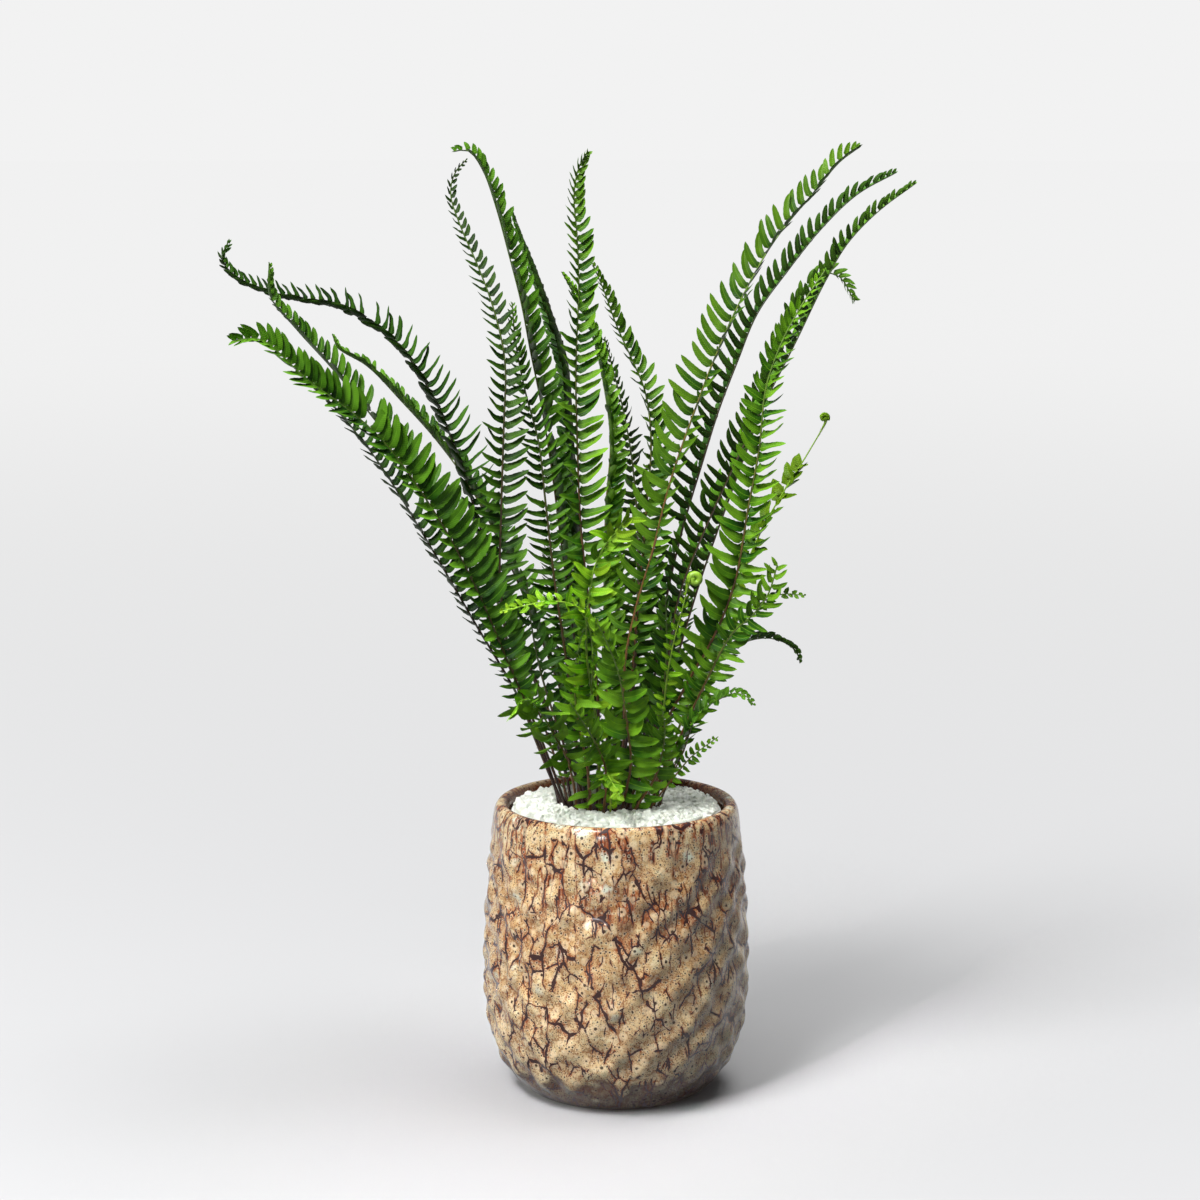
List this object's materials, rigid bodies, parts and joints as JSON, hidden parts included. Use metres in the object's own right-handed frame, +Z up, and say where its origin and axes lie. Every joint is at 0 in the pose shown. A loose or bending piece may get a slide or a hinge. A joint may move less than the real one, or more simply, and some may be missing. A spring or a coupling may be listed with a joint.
{
  "type": "potted fern",
  "caption": "Sword fern with tall arching fronds and young croziers, growing in a round glazed stoneware pot dressed with white gravel.",
  "frame": {"origin": "middle of the pot's foot, on the surface that the pot stands on", "axes": "+Z up, -Y towards the viewer of the picture, +X to the viewer's right"},
  "size_m": [0.4729, 0.2666, 0.6416],
  "materials": {
    "glaze": "glossy tan and brown reactive glaze with dark pits and rust runs",
    "soil": "dark damp potting compost",
    "gravel": "white marble chips, slightly waxy",
    "frond_dark": "dark green leaf, satin",
    "frond_mature": "mid green leaf, satin",
    "frond_bright": "fresh green leaf, satin",
    "frond_young": "yellow-green young leaf, satin"
  },
  "bodies": {
    "root": {"pot": "glaze", "soil": "soil", "gravel": "gravel", "frond_left_low": "frond_mature", "frond_left_under": "frond_dark", "frond_left_arch": "frond_dark", "frond_left_mid": "frond_mature", "frond_left_inner": "frond_mature", "frond_hook_tall": "frond_mature", "frond_back_dark": "frond_dark", "frond_screen_tall": "frond_mature", "frond_screen_short": "frond_mature", "frond_centre_tall": "frond_bright", "frond_centre_behind": "frond_bright", "frond_centre_right": "frond_bright", "frond_back_small": "frond_dark", "frond_right_tall": "frond_bright", "frond_right_dark": "frond_dark", "frond_right_outer": "frond_mature", "frond_right_front": "frond_bright", "frond_right_droop": "frond_mature", "frond_crozier_thin": "frond_young", "frond_side_rising": "frond_bright", "frond_side_out": "frond_bright", "frond_side_droop": "frond_mature", "frond_low_right": "frond_mature", "frond_low_twig": "frond_bright", "frond_crozier_young": "frond_young", "frond_lime_left": "frond_young", "frond_lime_centre": "frond_young", "frond_front_right": "frond_bright", "frond_front_left": "frond_bright", "frond_front_slant": "frond_bright", "frond_left_cluster": "frond_bright", "frond_gravel_trailer": "frond_young", "frond_low_stem": "frond_bright", "frond_heart_right": "frond_mature", "frond_heart_left": "frond_dark", "frond_rear_left": "frond_dark", "frond_rear_middle": "frond_mature", "frond_rear_right": "frond_dark", "frond_rear_low_right": "frond_bright", "frond_rear_low_left": "frond_bright"}
  },
  "joints": []
}
